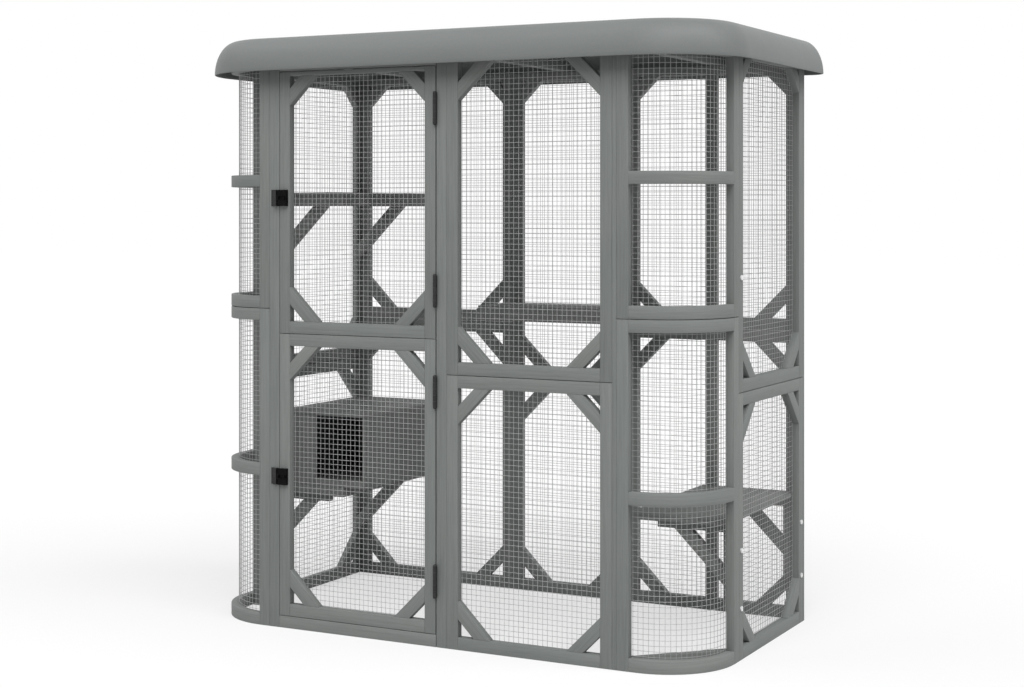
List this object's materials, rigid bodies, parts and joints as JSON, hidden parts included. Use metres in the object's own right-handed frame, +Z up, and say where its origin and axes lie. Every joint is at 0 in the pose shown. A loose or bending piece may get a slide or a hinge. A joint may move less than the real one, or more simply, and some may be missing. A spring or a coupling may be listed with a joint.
{
  "type": "outdoor cat enclosure",
  "caption": "Framed wire-mesh cat enclosure with rounded front corners, stacked hinged doors with slide latches, shelves, a nest box and a moulded roof.",
  "frame": {"origin": "on the floor under the middle of the roof", "axes": "+Z up, -Y out of the front where the doors are, +X to the right as seen from the front"},
  "size_m": [1.474, 0.792, 1.492],
  "materials": {
    "frame_timber": "matt grey stain",
    "shelf_timber": "matt dark grey stain",
    "wire": "galvanised",
    "roof_skin": "satin moulded sheet",
    "black_steel": "black powder coat",
    "bolt_steel": "zinc plated"
  },
  "bodies": {
    "frame": {"roof": "roof_skin", "roof_joists": "frame_timber", "door_header": "frame_timber", "door_sill": "frame_timber", "front_left_post": "frame_timber", "front_middle_post": "frame_timber", "front_narrow_post": "frame_timber", "back_right_filler": "frame_timber", "main_upper_frame": "frame_timber", "main_lower_frame": "frame_timber", "main_upper_mesh": "wire", "main_lower_mesh": "wire", "left_corner_upper_frame": "frame_timber", "left_corner_lower_frame": "frame_timber", "left_corner_upper_mesh": "wire", "left_corner_lower_mesh": "wire", "right_corner_upper_frame": "frame_timber", "right_corner_lower_frame": "frame_timber", "right_corner_upper_mesh": "wire", "right_corner_lower_mesh": "wire", "corner_tie_bar": "frame_timber", "left_side_upper_frame": "frame_timber", "left_side_lower_frame": "frame_timber", "left_side_meshes": "wire", "right_side_upper_frame": "frame_timber", "right_side_lower_frame": "frame_timber", "right_side_meshes": "wire", "back_left_upper_frame": "frame_timber", "back_left_lower_frame": "frame_timber", "back_left_meshes": "wire", "back_middle_upper_frame": "frame_timber", "back_middle_lower_frame": "frame_timber", "back_middle_meshes": "wire", "back_right_upper_frame": "frame_timber", "back_right_lower_frame": "frame_timber", "back_right_meshes": "wire", "upper_shelf": "shelf_timber", "nest_platform": "shelf_timber", "left_shelf_brackets": "frame_timber", "nest_box": "shelf_timber", "nest_lid": "shelf_timber", "right_platform": "shelf_timber", "right_platform_brackets": "frame_timber", "back_shelf": "shelf_timber", "post_hinge_leaves": "black_steel", "hinge_pins": "black_steel", "latch_keepers": "black_steel", "panel_bolts": "bolt_steel"},
    "upper_door": {"upper_door_frame": "frame_timber", "upper_door_mesh": "wire", "upper_door_hinge_leaves": "black_steel", "upper_latch_case": "black_steel"},
    "upper_latch": {"upper_latch_tongue": "black_steel"},
    "lower_door": {"lower_door_frame": "frame_timber", "lower_door_mesh": "wire", "lower_door_hinge_leaves": "black_steel", "lower_latch_case": "black_steel"},
    "lower_latch": {"lower_latch_tongue": "black_steel"}
  },
  "joints": [
    {"name": "upper_door_hinge", "type": "hinge", "parent": "frame", "child": "upper_door", "pos_m": [-0.003, -0.358, 1.07], "axis": [0, 0, 1], "range_deg": [0, 170]},
    {"name": "lower_door_hinge", "type": "hinge", "parent": "frame", "child": "lower_door", "pos_m": [-0.003, -0.358, 0.387], "axis": [0, 0, 1], "range_deg": [0, 170]},
    {"name": "upper_latch_slide", "type": "slide", "parent": "upper_door", "child": "upper_latch", "axis": [1, 0, 0], "range_m": [-0.014, 0]},
    {"name": "lower_latch_slide", "type": "slide", "parent": "lower_door", "child": "lower_latch", "axis": [1, 0, 0], "range_m": [-0.014, 0]}
  ]
}
